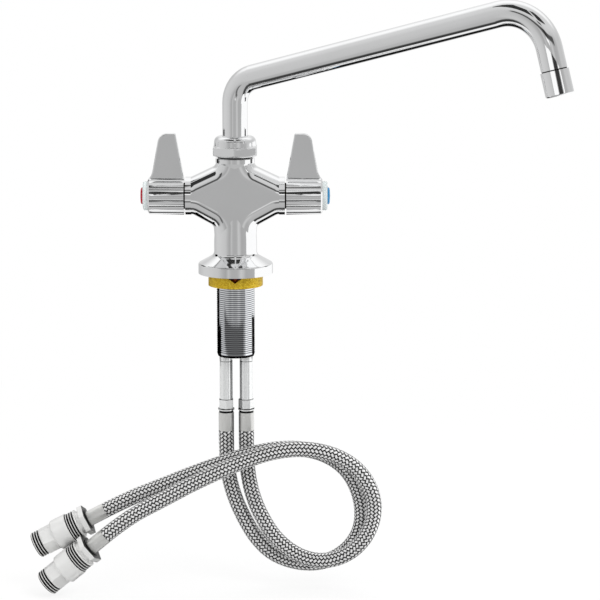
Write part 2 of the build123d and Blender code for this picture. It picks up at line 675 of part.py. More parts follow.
def handle():
    hub = turned([
        (0, HUB_START), (HUB_RADIUS, HUB_START),
        (HUB_RADIUS - HUB_DRAFT, HUB_END - HUB_CHAMFER_LENGTH),
        (HUB_RADIUS - HUB_CHAMFER_DEPTH, HUB_END), (0, HUB_END)])
    flute = disc(FLUTE_RADIUS, HUB_START, HUB_END - HUB_CHAMFER_LENGTH)
    centre = HUB_RADIUS + FLUTE_RADIUS - FLUTE_DEPTH
    for place in PolarLocations(centre, FLUTE_COUNT):
        hub -= place * flute
    body = hub + blade()
    body -= disc(HUB_BORE_RADIUS, HUB_START, HUB_FLOOR)
    body -= spline(RUNNING_GAP)
    body -= disc(SCREW_RADIUS + FREE_GAP, HUB_FLOOR, HUB_END)
    body -= disc(SCREW_HEAD_RADIUS + FREE_GAP, SCREW_SEAT, HUB_END)
    return body - disc(CAP_PLUG_RADIUS + THREAD_GAP, HUB_END - CAP_PLUG_LENGTH, HUB_END)


def handle_screw():
    shank = disc(SCREW_RADIUS, SCREW_SEAT - SCREW_LENGTH, SCREW_SEAT)
    head = disc(SCREW_HEAD_RADIUS, SCREW_SEAT, SCREW_SEAT + SCREW_HEAD_HEIGHT)
    slot = hexagon(SCREW_RADIUS * 1.5, SCREW_SEAT + 1, SCREW_SEAT + SCREW_HEAD_HEIGHT)
    return shank + head - slot


def index_cap():
    face = CAP_RADIUS - CAP_CHAMFER
    cap = turned([
        (0, HUB_END), (CAP_RADIUS, HUB_END), (CAP_RADIUS, CAP_TOP - CAP_CHAMFER),
        (face, CAP_TOP), (0, CAP_TOP)])
    cap += disc(CAP_PLUG_RADIUS, HUB_END - CAP_PLUG_LENGTH, HUB_END)
    return cap - disc(DOT_RADIUS + THREAD_GAP, CAP_TOP - DOT_SEAT_DEPTH, CAP_TOP)


def index_dot():
    low = CAP_TOP - DOT_SEAT_DEPTH
    rim = CAP_TOP + DOT_HEIGHT
    edge = FilletPolyline(
        (DOT_RADIUS, low), (DOT_RADIUS, rim), (0, rim + DOT_CROWN), radius=DOT_ROUND)
    core = Polyline((0, rim + DOT_CROWN), (0, low), (DOT_RADIUS, low))
    return revolve(Plane.XZ * make_face(edge + core), Axis.Z)


# Upper end of a hose, built on the Z axis and then moved under its port

def hose_stem():
    nose = PORT_TOP - INLET_NOSE_LENGTH
    barb_end = HOSE_TOP + FREE_GAP
    return turned([
        (HOSE_STEM_BORE, barb_end), (BARB_RADIUS, barb_end), (BARB_RADIUS, FERRULE_TOP),
        (HOSE_STEM_RADIUS, FERRULE_TOP), (HOSE_STEM_RADIUS, SHANK_SOCKET),
        (PORT_RADIUS - THREAD_GAP, SHANK_SOCKET), (PORT_RADIUS - THREAD_GAP, nose),
        (INLET_NOSE_RADIUS, nose), (INLET_NOSE_RADIUS, PORT_TOP - FREE_GAP),
        (HOSE_STEM_BORE, PORT_TOP - FREE_GAP)])


def inlet_oring():
    centre = INLET_NOSE_RADIUS + THREAD_GAP / 2 + INLET_O_RING_SECTION
    height = PORT_TOP - INLET_NOSE_LENGTH + INLET_O_RING_SECTION
    return seal_ring(INLET_O_RING_SECTION, centre, height)


def stem_collar(turn):
    """The small hexagon on the stem, with a bead and a neck under it."""
    step = COLLAR_NUT_TOP - COLLAR_NUT_HEIGHT
    bead = step - COLLAR_NUT_BEAD_HEIGHT
    corner = COLLAR_NUT_HEX / math.sqrt(3)
    blank = turned([
        (0, step), (corner, step), (corner, COLLAR_NUT_TOP - COLLAR_NUT_CHAMFER),
        (corner - 2 * COLLAR_NUT_CHAMFER, COLLAR_NUT_TOP), (0, COLLAR_NUT_TOP)])
    collar = hexagon(COLLAR_NUT_HEX, step, COLLAR_NUT_TOP, turn) & blank
    collar += disc(COLLAR_NUT_BEAD_RADIUS, bead, step)
    collar += disc(COLLAR_NUT_NECK_RADIUS, FERRULE_TOP, bead)
    return collar - disc(HOSE_STEM_RADIUS + THREAD_GAP, FERRULE_TOP, COLLAR_NUT_TOP)


def ferrule(bore, low, high):
    """A sleeve crimped lightly to flats all round."""
    flats = RegularPolygon(CRIMP_ACROSS_FLATS / 2, CRIMP_FLATS, major_radius=False)
    crimp = Pos(0, 0, low) * extrude(flats, high - low)
    return (disc(FERRULE_RADIUS, low, high) & crimp) - disc(bore, low, high)


def upper_ferrule():
    return ferrule(BARB_RADIUS + THREAD_GAP, HOSE_TOP, FERRULE_TOP)


# Hose and its lower end

def hose(route):
    radii = []
    for before, corner, after in zip(route, route[1:], route[2:]):
        run_in = Vector(corner) - Vector(before)
        run_out = Vector(after) - Vector(corner)
        half_turn = math.radians(run_in.get_angle(run_out) / 2)
        radii.append(0.45 * min(run_in.length, run_out.length) / math.tan(half_turn))
    path = FilletPolyline(*route, radius=radii)
    start = Plane(origin=path @ 0, z_dir=path % 0)
    solid = sweep(start * Circle(HOSE_RADIUS), path=path)
    solid -= sweep(start * Circle(HOSE_BORE), path=path)
    section = math.pi * (HOSE_RADIUS**2 - HOSE_BORE**2)
    print(
        f"hose length {path.length:.1f}, smallest radius {min(radii):.1f}, "
        f"volume over section times length {solid.volume / section / path.length:.4f}")
    return solid


def end_plane(route):
    """The frame at the end of the braid: local Z runs on along the hose."""
    last, before = Vector(route[-1]), Vector(route[-2])
    return Plane(origin=last, x_dir=(0, -1, 0), z_dir=last - before)


END_HEX_START = FERRULE_LENGTH + END_SHOULDER_LENGTH
END_NECK_START = END_HEX_START + END_HEX_LENGTH
END_THREAD_START = END_NECK_START + END_NECK_LENGTH
END_THREAD_END = END_THREAD_START + END_THREAD_LENGTH
ADAPTER_START = END_THREAD_START + END_THREAD_SHOWN
ADAPTER_HEX_START = ADAPTER_START + ADAPTER_SLEEVE_LENGTH
ADAPTER_THREAD_START = ADAPTER_HEX_START + ADAPTER_HEX_LENGTH
ADAPTER_END = ADAPTER_THREAD_START + ADAPTER_THREAD_LENGTH


def lower_ferrule():
    return ferrule(END_NIPPLE_RADIUS + THREAD_GAP, 0, FERRULE_LENGTH)


def end_fitting():
    fitting = disc(END_NIPPLE_RADIUS, FREE_GAP, FERRULE_LENGTH)
    fitting += disc(END_SHOULDER_RADIUS, FERRULE_LENGTH, END_HEX_START)
    fitting += hexagon(END_HEX, END_HEX_START, END_NECK_START, END_HEX_TURN)
    fitting += disc(END_NECK_RADIUS, END_NECK_START, END_THREAD_START)
    fitting += threaded(
        END_THREAD_RADIUS, COARSE_DEPTH, COARSE_PITCH, END_THREAD_START, END_THREAD_END)
    return fitting - disc(END_BORE, FREE_GAP, END_THREAD_END)


def adapter():
    sleeve = turned([
        (0, ADAPTER_START), (ADAPTER_RADIUS, ADAPTER_START),
        (ADAPTER_RADIUS, ADAPTER_HEX_START - ADAPTER_CHAMFER),
        (ADAPTER_RADIUS - ADAPTER_CHAMFER, ADAPTER_HEX_START), (0, ADAPTER_HEX_START)])
    sleeve += hexagon(ADAPTER_HEX, ADAPTER_HEX_START, ADAPTER_THREAD_START)
    tip = ADAPTER_END - ADAPTER_THREAD_CHAMFER
    sleeve += threaded(
        ADAPTER_THREAD_RADIUS, COARSE_DEPTH, COARSE_PITCH, ADAPTER_THREAD_START, tip)
    sleeve += turned([
        (0, tip), (ADAPTER_THREAD_RADIUS, tip),
        (ADAPTER_THREAD_RADIUS - ADAPTER_THREAD_CHAMFER, ADAPTER_END), (0, ADAPTER_END)])
    sleeve -= disc(
        END_THREAD_RADIUS + THREAD_GAP, ADAPTER_START, END_THREAD_END + ADAPTER_WASHER_HEIGHT)
    return sleeve - disc(ADAPTER_BORE, END_THREAD_END, ADAPTER_END)


def adapter_washer():
    return ring(
        END_THREAD_RADIUS, ADAPTER_BORE, END_THREAD_END, END_THREAD_END + ADAPTER_WASHER_HEIGHT)


# Every piece under its own name

def pieces():
    aerator = aerator_plane()
    named = {
        "body_casting": body_casting(),
        "base_gasket": base_gasket(),
        "mounting_shank": mounting_shank(),
        "mounting_locknut": mounting_locknut(),
        "swivel_nut": swivel_nut(),
        "spout_tube": spout_tube(),
        "spout_sleeve": spout_sleeve(),
        "spout_orings": spout_orings(),
        "spout_thrust_washer": spout_thrust_washer(),
        "aerator_housing": aerator * aerator_housing(),
        "aerator_gasket": aerator * aerator_gasket(),
        "aerator_screen": aerator * aerator_screen(),
        "aerator_insert": aerator * aerator_insert(),
    }
    for side, sign in SIDES.items():
        arm = arm_plane(sign)
        port = Pos(sign * STEM_SPACING / 2, 0, 0)
        end = end_plane(ROUTES[side])
        named |= {
            f"{side}_cartridge_body": arm * cartridge_body(),
            f"{side}_seat_seal": arm * seat_seal(),
            f"{side}_disc_fixed": arm * disc_fixed(),
            f"{side}_disc_turning": arm * disc_turning(),
            f"{side}_stem": arm * stem(),
            f"{side}_stem_oring": arm * stem_oring(),
            f"{side}_handle": arm * handle(),
            f"{side}_handle_screw": arm * handle_screw(),
            f"{side}_index_cap": arm * index_cap(),
            f"{side}_index_dot": arm * index_dot(),
            f"{side}_hose_stem": port * hose_stem(),
            f"{side}_inlet_oring": port * inlet_oring(),
            f"{side}_stem_collar": port * stem_collar(COLLAR_NUT_TURN[side]),
            f"{side}_upper_ferrule": port * upper_ferrule(),
            f"{side}_hose": hose(ROUTES[side]),
            f"{side}_lower_ferrule": end * lower_ferrule(),
            f"{side}_end_fitting": end * end_fitting(),
            f"{side}_adapter": end * adapter(),
            f"{side}_adapter_washer": end * adapter_washer(),
        }
    return named


os.makedirs("parts", exist_ok=True)
for name, solid in pieces().items():
    export_step(solid, f"parts/{name}.step")
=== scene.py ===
import math

import bpy
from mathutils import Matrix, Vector


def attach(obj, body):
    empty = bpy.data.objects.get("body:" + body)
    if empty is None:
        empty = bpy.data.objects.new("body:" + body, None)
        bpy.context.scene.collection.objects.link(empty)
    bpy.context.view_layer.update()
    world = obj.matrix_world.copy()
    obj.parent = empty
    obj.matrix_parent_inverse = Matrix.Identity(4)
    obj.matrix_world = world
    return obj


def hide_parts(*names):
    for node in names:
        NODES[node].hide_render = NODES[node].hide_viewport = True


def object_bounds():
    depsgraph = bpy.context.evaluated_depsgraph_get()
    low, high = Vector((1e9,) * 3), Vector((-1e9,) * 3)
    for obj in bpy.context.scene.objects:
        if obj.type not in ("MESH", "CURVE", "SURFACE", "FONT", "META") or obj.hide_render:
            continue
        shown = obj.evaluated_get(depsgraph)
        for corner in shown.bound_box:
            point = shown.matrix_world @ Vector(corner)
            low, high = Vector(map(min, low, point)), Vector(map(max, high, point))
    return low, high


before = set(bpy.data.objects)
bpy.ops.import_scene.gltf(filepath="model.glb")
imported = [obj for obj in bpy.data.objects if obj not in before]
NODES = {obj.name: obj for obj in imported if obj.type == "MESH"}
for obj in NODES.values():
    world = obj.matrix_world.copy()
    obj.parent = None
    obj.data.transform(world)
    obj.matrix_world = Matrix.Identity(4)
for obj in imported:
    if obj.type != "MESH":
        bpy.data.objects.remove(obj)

# Deck-mount two-handle faucet: materials, braided hoses, studio and camera.
# Sizes are metres, in the part's own frame: +Z up the body, +X to the cold handle, -Y to the
# user, and the origin at the centre of the flange's underside.

CAD_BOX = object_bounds()

# Camera, at the photograph's angle for a square image
CAMERA_PLACE = (0.05715, -2.16763, 0.37682)
CAMERA_PITCH = 10.5
CAMERA_LENS = 148.62
CAMERA_SENSOR = 36.0

# Hose routes, from each upper ferrule to each lower one
HOSE_TOP = -0.1435
HOT_ROUTE = [
    (-0.009, 0, HOSE_TOP), (-0.009, 0, -0.162), (-0.0076, -0.001, -0.1842),
    (-0.0018, -0.002, -0.2054), (0.0059, -0.003, -0.2228), (0.0162, -0.004, -0.2412),
    (0.0311, -0.005, -0.2569), (0.051, -0.006, -0.265), (0.0727, -0.008, -0.2659),
    (0.0908, -0.01, -0.2592), (0.1047, -0.012, -0.2464), (0.1127, -0.013, -0.2294),
    (0.1129, -0.014, -0.2086), (0.1066, -0.015, -0.188), (0.0949, -0.0165, -0.1715),
    (0.077, -0.018, -0.1603), (0.0564, -0.0185, -0.156), (0.038, -0.0185, -0.1563),
    (0.0207, -0.0185, -0.1592), (0.0029, -0.0185, -0.1642), (-0.017, -0.0185, -0.171),
    (-0.042, -0.0188, -0.1803), (-0.069, -0.019, -0.1914), (-0.0952, -0.0192, -0.2016),
    (-0.1171, -0.0192, -0.213),
]
COLD_ROUTE = [
    (0.009, 0, HOSE_TOP), (0.009, 0, -0.162), (0.0102, -0.0025, -0.1837),
    (0.0148, -0.006, -0.2038), (0.0222, -0.01, -0.2206), (0.0335, -0.014, -0.2384),
    (0.0492, -0.018, -0.2521), (0.069, -0.022, -0.2594), (0.0905, -0.025, -0.2571),
    (0.1093, -0.0275, -0.2449), (0.1212, -0.029, -0.2261), (0.1244, -0.0305, -0.2046),
    (0.1178, -0.032, -0.1832), (0.1031, -0.0335, -0.1662), (0.0822, -0.0352, -0.1556),
    (0.0582, -0.0366, -0.1517), (0.0352, -0.0374, -0.154), (0.014, -0.038, -0.1604),
    (-0.009, -0.0382, -0.1698), (-0.036, -0.0383, -0.1823), (-0.0667, -0.0381, -0.1992),
    (-0.0961, -0.0374, -0.2149), (-0.116, -0.0363, -0.2316),
]
ROUTES = {"hot": HOT_ROUTE, "cold": COLD_ROUTE}
# How a line is drawn: its order, the steps between two places, and the roundness of its core
HOSE_ORDER = 3
HOSE_STEPS = 20
CORE_ROUNDNESS = 6

ORIGIN = (0, 0, 0)
UP = (0, 0, 1)

# Bare threads that show in a gap, darkened with painted shade: where each starts, which way it
# runs and its radius
SHOULDER = 0.1023
NECK_THREAD = ((0, 0, SHOULDER), UP, 0.0164)
SPOUT_SWING = math.radians(-27.5)
SPOUT_RISE = math.radians(15)
SPOUT_JOINT = (0.26531, -0.13811, 0.19271)
OUTLET_DIRECTION = (
    math.cos(SPOUT_SWING) * math.sin(SPOUT_RISE), math.sin(SPOUT_SWING) * math.sin(SPOUT_RISE),
    -math.cos(SPOUT_RISE))
SPOUT_THREAD = (SPOUT_JOINT, OUTLET_DIRECTION, 0.0109)
RECESS_EDGE = 0.0003
RECESS_ROUGHNESS = 0.6

# Edges that a shader rounds: their radius, and how many rays look for them
NUT_EDGE = 0.002
CONNECTOR_EDGE = 0.0008
EDGE_SAMPLES = 6

# Connectors, by distance past the end of the braid: where each thread starts, and the radii
# between which its grooves go dark. The seam where the ferrule enters is dark too.
CONNECTOR_GROOVES = {
    "end_fitting": (0.0260, 0.0129, 0.0132), "adapter": (0.0618, 0.0117, 0.0120)}
CONNECTOR_SEAM = (0.0160, 0.0177)

# Heights between which the stems, their collars and the shank's tip are dark
STEM_SEAMS = [(-0.0803, -0.0798)]
COLLAR_SEAMS = [(-0.1151, -0.1144), (-0.1238, -0.1231), (-0.1270, -0.1252)]
SHANK_TIP = (-0.080, -0.0726)
SEAM_SOFTNESS = 0.0001

# Shank thread: the radii of its grooves, which get painted shade, and of its crests, the height
# where painted shade with a red-orange reflection of the brass lock nut starts in the nut's notch,
# and how much of its shine is that of a smooth cylinder
SHANK_TOOTH = (0.0161, 0.0168)
SHANK_REFLECTION_FROM = -0.008
SHANK_REFLECTION_SOFTNESS = 0.0008
CREST_SHINE = 0.97

# Lock nut: the radii between which its notches go from shadow to light
LOCKNUT_NOTCH = (0.0172, 0.0215)

# Colours
CHROME = (0.95, 0.955, 0.96)
MACHINED_CHROME = (0.94, 0.945, 0.95)
TUBE_STEEL = (0.95, 0.96, 0.96)
FERRULE_STEEL = (0.84, 0.84, 0.82)
FINE_STEEL = (0.62, 0.62, 0.63)
CONNECTOR_PLATE = (0.80, 0.80, 0.79)
SHANK_PLATE = (0.95, 0.97, 1.0)
# Painted shade in the grooves of the shank thread
SHANK_GROOVE_SHADE = (0.10, 0.105, 0.115)
# Painted shade with a red-orange reflection of the brass lock nut, on the shank in its notch
SHANK_NOTCH_REFLECTION = (0.30, 0.06, 0.015)
LOCKNUT_SPECKLE = [(0.3, (0.44, 0.27, 0.008)), (0.5, (0.66, 0.43, 0.015)),
                   (0.7, (0.86, 0.66, 0.06))]
LOCKNUT_SHADOW = (0.35, 0.10, 0.02)
BRASS = (0.80, 0.62, 0.28)
# Near-black brass for the cartridge bodies: painted shade in the gap between the arms and the
# handles
SHADOWED_BRASS = (0.02, 0.016, 0.01)
BLACK_RUBBER = (0.03, 0.03, 0.03)
HOSE_RUBBER = (0.015, 0.015, 0.015)
WHITE_ACETAL = (0.86, 0.86, 0.84)
CERAMIC = (0.90, 0.89, 0.86)
CAP_PLASTIC = (0.66, 0.71, 0.71)
DOT_RED = (0.42, 0.015, 0.03)
DOT_BLUE = (0.04, 0.25, 0.50)
SHADOW = (0.005, 0.005, 0.005)
WHITE = (1, 1, 1, 1)

# Finishes: how metallic the duller metals are, the haze on chrome, and the values of a noise
# between which a finish changes
TUBE_METALLIC = 0.72
FERRULE_METALLIC = 0.75
CONNECTOR_METALLIC = 0.35
LOCKNUT_METALLIC = 0.55
WIRE_METALLIC = 0.55
HAZE = 0.03
HAZE_SPREAD = (0.35, 0.75)
PLATE_SPREAD = (0.3, 0.8)
SPREAD = (0.3, 0.7)

# Braid: two families of carriers, each two over and two under. A phase says where in its wave
# a family starts, by the way it turns, so that one dives where the other rises.
CARRIERS = 12
BRAID_PITCH = 0.043
BRAID_MIDDLE = 0.00652
BRAID_WAVE = 0.0003
BRAID_PHASES = {1: 0.5, -1: 2.5}
BRAID_WIDTH = 0.0019
BRAID_WIRES = 4
WIRE_RISE = 0.00018
WIRE_VALLEY = 0.35
BRAID_CORE = 0.0061
STEPS_PER_CROSSING = 2
# Lift is how far a bundle stands out, from 0 to 1; its stops give the painted shade on the wire
LIFT = "lift"
LIFT_STOPS = [(0.54, 0.0), (0.68, 0.05), (0.85, 1.0)]

# Studio. Directions are degrees from the camera's side towards the right, and degrees up.
# HORIZON goes round at eye level, TABLE and CEILING from behind (0) to in front (1).
FLOOR_GAP = 0.002
FLOOR_REACH = 6.0
FLOOR_PAPER = (0.9, 0.9, 0.9, 1)
FLOOR_WHITE = 0.85
FLOOR_FADE = (0.3, 0.9)
WORLD_FILL = (0.62, 0.62, 0.62)
HORIZON = [(-180, 0.85), (-150, 0.52), (-110, 0.62), (-90, 0.61), (-53, 0.55), (-38, 0.43),
           (-29, 0.38), (-21, 0.52), (-12, 0.42), (-3, 0.41), (8, 0.42), (18, 0.57), (25, 0.52),
           (34, 0.40), (60, 0.43), (75, 0.55), (110, 0.55), (180, 0.75)]
TABLE = [(0.0, 0.85), (0.06, 0.85), (0.09, 0.01), (0.33, 0.01), (0.37, 0.90), (0.50, 0.90),
         (0.53, 0.04), (0.65, 0.04), (0.70, 0.45), (1.0, 0.50)]
TABLE_EDGE = (-38, -24)
CEILING = [(0.0, 1.0), (0.3, 1.0), (0.45, 0.66), (1.0, 0.62)]
CEILING_EDGE = (20, 45)
# Light and dark patches of that world: left, right, lowest, highest and light
PATCHES = [(-48, 48, 20, 30, 0.08), (-7, 7, 19, 31, 0.03), (-7, 7, 13, 18, 1.0),
           (-7, 7, 38, 44, 0.05), (-7, 7, -21, -16, 0.70), (-40, 4, -33, -25, 0.14),
           (-95, -6, 50, 76, 0.03), (6, 50, 50, 76, 0.03)]
PATCH_SOFTNESS = 1.5
# A large white card to the right: its x, and its corners (y, z)
WHITE_CARD_PLACE = 0.45
WHITE_CARD_CORNERS = [(-0.254, -0.6), (0.9, -0.6), (0.9, 0.15), (-0.15, 0.13), (-0.254, 0.08)]
# Upright cards: start (x, y), end (x, y), heights and light
TIP_CARD_PLACE = -0.205
TIP_CARD_HEIGHTS = (0.150, 0.215)
NECK_CARD_HEIGHTS = (0.045, 0.110)
STEM_CARD_HEIGHTS = (-0.158, -0.080)
UPRIGHT_CARDS = {
    "tip_white": ((0.2146, TIP_CARD_PLACE), (0.2583, TIP_CARD_PLACE), TIP_CARD_HEIGHTS, 1.0),
    "tip_dark": ((0.2629, TIP_CARD_PLACE), (0.2965, TIP_CARD_PLACE), TIP_CARD_HEIGHTS, 0.04),
    "tip_edge": ((0.3033, TIP_CARD_PLACE), (0.3171, TIP_CARD_PLACE), TIP_CARD_HEIGHTS, 1.0),
    "neck_left": ((-0.163, 0.050), (-0.128, 0.104), NECK_CARD_HEIGHTS, 0.0),
    "neck_right": ((0.168, 0.035), (0.149, 0.078), NECK_CARD_HEIGHTS, 0.0),
    # A black card between the stems, seen only in their reflections: painted shade on their inner
    # sides
    "shade_between_stems": ((0, -0.0056), (0, 0.06), STEM_CARD_HEIGHTS, 0.0),
    "shank_front": ((-0.16, -0.06), (0.06, -0.06), (-0.0885, -0.053), 0.15),
    "shank_left": ((-0.103, 0.042), (-0.039, 0.088), (-0.098, -0.02), 0.0),
    "shank_foot": ((-0.114, 0.010), (-0.100, 0.045), (-0.105, -0.064), 0.0),
    "shank_right": ((0.103, 0.039), (0.044, 0.094), (-0.098, -0.055), 0.0),
}
# Lamps: place, size and power
LAMPS = {
    "key": ((1.3, -1.4, 1.5), 1.4, 30.0),
    "fill": ((-1.6, -1.2, 0.9), 1.6, 14.0),
    "top": ((0.0, 0.5, 1.8), 1.5, 14.0),
}


# Camera

def add_camera():
    camera = bpy.data.objects.new("camera", bpy.data.cameras.new("camera"))
    bpy.context.collection.objects.link(camera)
    camera.location = CAMERA_PLACE
    camera.rotation_euler = (math.radians(90 - CAMERA_PITCH), 0, 0)
    camera.data.lens = CAMERA_LENS
    camera.data.sensor_width = CAMERA_SENSOR
    bpy.context.scene.camera = camera


# Shader nodes

# Sockets of a Mix node, by what it mixes: factor, first, second and result
MIX_SOCKETS = {"RGBA": (0, 6, 7, 2), "VECTOR": (0, 4, 5, 1)}


class Shader:
    """A node tree with short calls that add a node and link or set its inputs."""

    def __init__(self, tree):
        self.tree = tree
        tree.nodes.clear()

    def add(self, kind, inputs=None, **settings):
        node = self.tree.nodes.new("ShaderNode" + kind)
        for key, value in settings.items():
            setattr(node, key, value)
        for key, value in (inputs or {}).items():
            self.set(node, key, value)
        return node

    def set(self, node, key, value):
        if isinstance(value, bpy.types.NodeSocket):
            self.tree.links.new(value, node.inputs[key])
        else:
            node.inputs[key].default_value = value

    def math(self, operation, first, second=0.0, clamp=False):
        node = self.add("Math", {0: first, 1: second}, operation=operation, use_clamp=clamp)
        return node.outputs[0]

    def smooth(self, value, low, high, to_low=0.0, to_high=1.0):
        node = self.add(
            "MapRange",
            {"Value": value, "From Min": low, "From Max": high, "To Min": to_low,
             "To Max": to_high},
            interpolation_type="SMOOTHSTEP")
        return node.outputs[0]

    def between(self, value, low, high, softness):
        """1 where a value lies between two limits, with soft edges."""
        rise = self.smooth(value, low - softness, low + softness)
        fall = self.smooth(value, high - softness, high + softness, 1.0, 0.0)
        return self.math("MULTIPLY", rise, fall)

    def ramp(self, value, stops):
        """Colours or greys at the given places, blended in between."""
        node = self.add("ValToRGB", {"Fac": value})
        elements = node.color_ramp.elements
        while len(elements) < len(stops):
            elements.new(0.5)
        for element, (place, colour) in zip(elements, stops):
            element.position = place
            if isinstance(colour, (int, float)):
                colour = (colour, colour, colour)
            element.color = (*colour, 1)
        return node.outputs[0]

    def mix(self, factor, first, second, data_type="RGBA", blend_type="MIX"):
        node = self.add("Mix", data_type=data_type, blend_type=blend_type)
        *keys, result = MIX_SOCKETS[data_type]
        for key, value in zip(keys, (factor, first, second)):
            if isinstance(value, tuple) and len(value) == 3:
                value = (*value, 1)
            self.set(node, key, value)
        return node.outputs[result]

    def place(self):
        return self.add("TexCoord").outputs["Object"]

    def noise(self, vector, scale, detail):
        return self.add(
            "TexNoise", {"Vector": vector, "Scale": scale, "Detail": detail}).outputs[0]

    def stretched(self, vector, scale):
        """A place scaled along each axis, which turns a noise into streaks."""
        return self.add("Mapping", {"Vector": vector, "Scale": scale}).outputs[0]

    def bump(self, height, strength, distance, edge=None):
        """A bumped normal, over edges that are rounded by a radius if one is given."""
        inputs = {"Height": height, "Strength": strength, "Distance": distance}
        if edge:
            inputs["Normal"] = self.add("Bevel", {"Radius": edge}, samples=EDGE_SAMPLES).outputs[0]
        return self.add("Bump", inputs).outputs[0]

    def distance_along(self, point, axis):
        """How far the surface is past a point, along an axis, in metres."""
        offset = self.add("VectorMath", {0: self.place(), 1: point}, operation="SUBTRACT")
        return self.add("VectorMath", {0: offset.outputs[0], 1: axis},
                        operation="DOT_PRODUCT").outputs["Value"]

    def distance_from(self, point, axis):
        """How far the surface is from a line, in metres."""
        offset = self.add("VectorMath", {0: self.place(), 1: point}, operation="SUBTRACT")
        cross = self.add("VectorMath", {0: offset.outputs[0], 1: axis}, operation="CROSS_PRODUCT")
        return self.add(
            "VectorMath", {0: cross.outputs[0]}, operation="LENGTH").outputs["Value"]


def new_material(name, **sockets):
    """A material with one Principled shader, and the tree that holds it."""
    material = bpy.data.materials.new(name)
    material.use_nodes = True
    shader = Shader(material.node_tree)
    surface = shader.add("BsdfPrincipled")
    for key, value in sockets.items():
        surface.inputs[key.replace("_", " ")].default_value = value
    output = shader.add("OutputMaterial")
    shader.set(output, "Surface", surface.outputs[0])
    return material, shader, surface


# Materials

def scaled(colour, factor):
    """A colour made darker or lighter, up to white."""
    return tuple(min(1, channel * factor) for channel in colour)


def chrome(name, colour, roughness, shaded_recess=None, edge=None, metallic=1.0, seams=()):
    """Polished plate: faint polishing waves, and a haze that varies over the surface.

    A shaded recess is (start, direction, radius): past the start and inside the radius, the
    exposed thread has painted shade. An edge is the radius that polishing has left on sharp edges.
    Seams are (low, high) heights between which the metal is dark.
    """
    material, shader, surface = new_material(name, Metallic=metallic)
    place = shader.place()
    cloud = shader.noise(place, scale=28.0, detail=4.0)
    tint = shader.ramp(cloud, [(0.3, colour), (0.7, scaled(colour, 1.04))])
    rough = shader.smooth(cloud, *HAZE_SPREAD, roughness, roughness + HAZE)
    if shaded_recess:
        start, direction, radius = shaded_recess
        # Painted shade on the thread inside the recess
        inside = shader.smooth(
            shader.distance_from(start, direction), radius, radius - RECESS_EDGE)
        past = shader.smooth(shader.distance_along(start, direction), 0.0, RECESS_EDGE)
        dark = shader.math("MULTIPLY", inside, past)
        tint = shader.mix(dark, tint, SHADOW)
        rough = shader.math("MAXIMUM", rough, shader.math("MULTIPLY", dark, RECESS_ROUGHNESS))
    for low, high in seams:
        height = shader.distance_along(ORIGIN, UP)
        tint = shader.mix(shader.between(height, low, high, SEAM_SOFTNESS), tint, SHADOW)
    shader.set(surface, "Base Color", tint)
    shader.set(surface, "Roughness", rough)
    ripple = shader.noise(place, scale=60.0, detail=1.0)
    fine = shader.noise(place, scale=900.0, detail=2.0)
    waves = shader.math("ADD", ripple, shader.math("MULTIPLY", fine, 0.04))
    shader.set(surface, "Normal", shader.bump(waves, strength=0.12, distance=0.0004, edge=edge))
    return material


def threaded_plate(name, colour, point, axis, grooves):
    """Satin plated connector; the grooves of its thread and its seam are dark with shadow.

    The axis runs from a point. Grooves are (start, groove radius, crest radius).
    """
    material, shader, surface = new_material(name, Metallic=CONNECTOR_METALLIC)
    place = shader.place()
    cloud = shader.noise(place, scale=45.0, detail=4.0)
    scratches = shader.noise(shader.stretched(place, (40, 40, 400)), scale=9.0, detail=3.0)
    tint = shader.mix(cloud, colour, scaled(colour, 0.92))
    start, low, high = grooves
    along = shader.distance_along(point, axis)
    depth = shader.smooth(shader.distance_from(point, axis), low, high, 1.0, 0.0)
    threaded = shader.smooth(along, start, start + SEAM_SOFTNESS)
    seam = shader.between(along, *CONNECTOR_SEAM, SEAM_SOFTNESS)
    dark = shader.math("MAXIMUM", shader.math("MULTIPLY", depth, threaded), seam)
    shader.set(surface, "Base Color", shader.mix(dark, tint, SHADOW))
    shader.set(surface, "Roughness", shader.smooth(cloud, *PLATE_SPREAD, 0.3, 0.42))
    shader.set(surface, "Normal", shader.bump(
        scratches, strength=0.08, distance=0.0002, edge=CONNECTOR_EDGE))
    return material


def fine_thread():
    """Plated fine thread of the shank, whose rolled crests run into one smooth shine.

    Its grooves get painted shade, its top painted shade with a red-orange reflection of the brass
    lock nut in its notch, and its tip is in shadow.
    """
    material, shader, surface = new_material("shank_plating", Metallic=1.0)
    place = shader.place()
    cloud = shader.noise(place, scale=45.0, detail=4.0)
    depth = shader.smooth(shader.distance_from(ORIGIN, UP), *SHANK_TOOTH)
    tint = shader.mix(cloud, SHANK_PLATE, scaled(SHANK_PLATE, 0.94))
    # Painted shade in the thread's grooves
    tint = shader.mix(depth, SHANK_GROOVE_SHADE, tint)
    # Painted shade and brass reflection on the top of the shank, inside the lock nut's notch
    above = shader.distance_along((0, 0, SHANK_REFLECTION_FROM), UP)
    painted_reflection = shader.smooth(above, 0.0, SHANK_REFLECTION_SOFTNESS)
    tint = shader.mix(painted_reflection, tint, SHANK_NOTCH_REFLECTION)
    end = shader.between(shader.distance_along(ORIGIN, UP), *SHANK_TIP, SEAM_SOFTNESS)
    shader.set(surface, "Base Color", shader.mix(end, tint, SHADOW))
    shader.set(surface, "Roughness", shader.smooth(cloud, *PLATE_SPREAD, 0.08, 0.16))
    radial = shader.add("VectorMath", {0: place, 1: (1, 1, 0)}, operation="MULTIPLY").outputs[0]
    radial = shader.add("VectorMath", {0: radial}, operation="NORMALIZE").outputs[0]
    true = shader.add("NewGeometry").outputs["Normal"]
    blend = shader.mix(CREST_SHINE, true, radial, data_type="VECTOR")
    normal = shader.add("VectorMath", {0: blend}, operation="NORMALIZE").outputs[0]
    shader.set(surface, "Normal", normal)
    return material


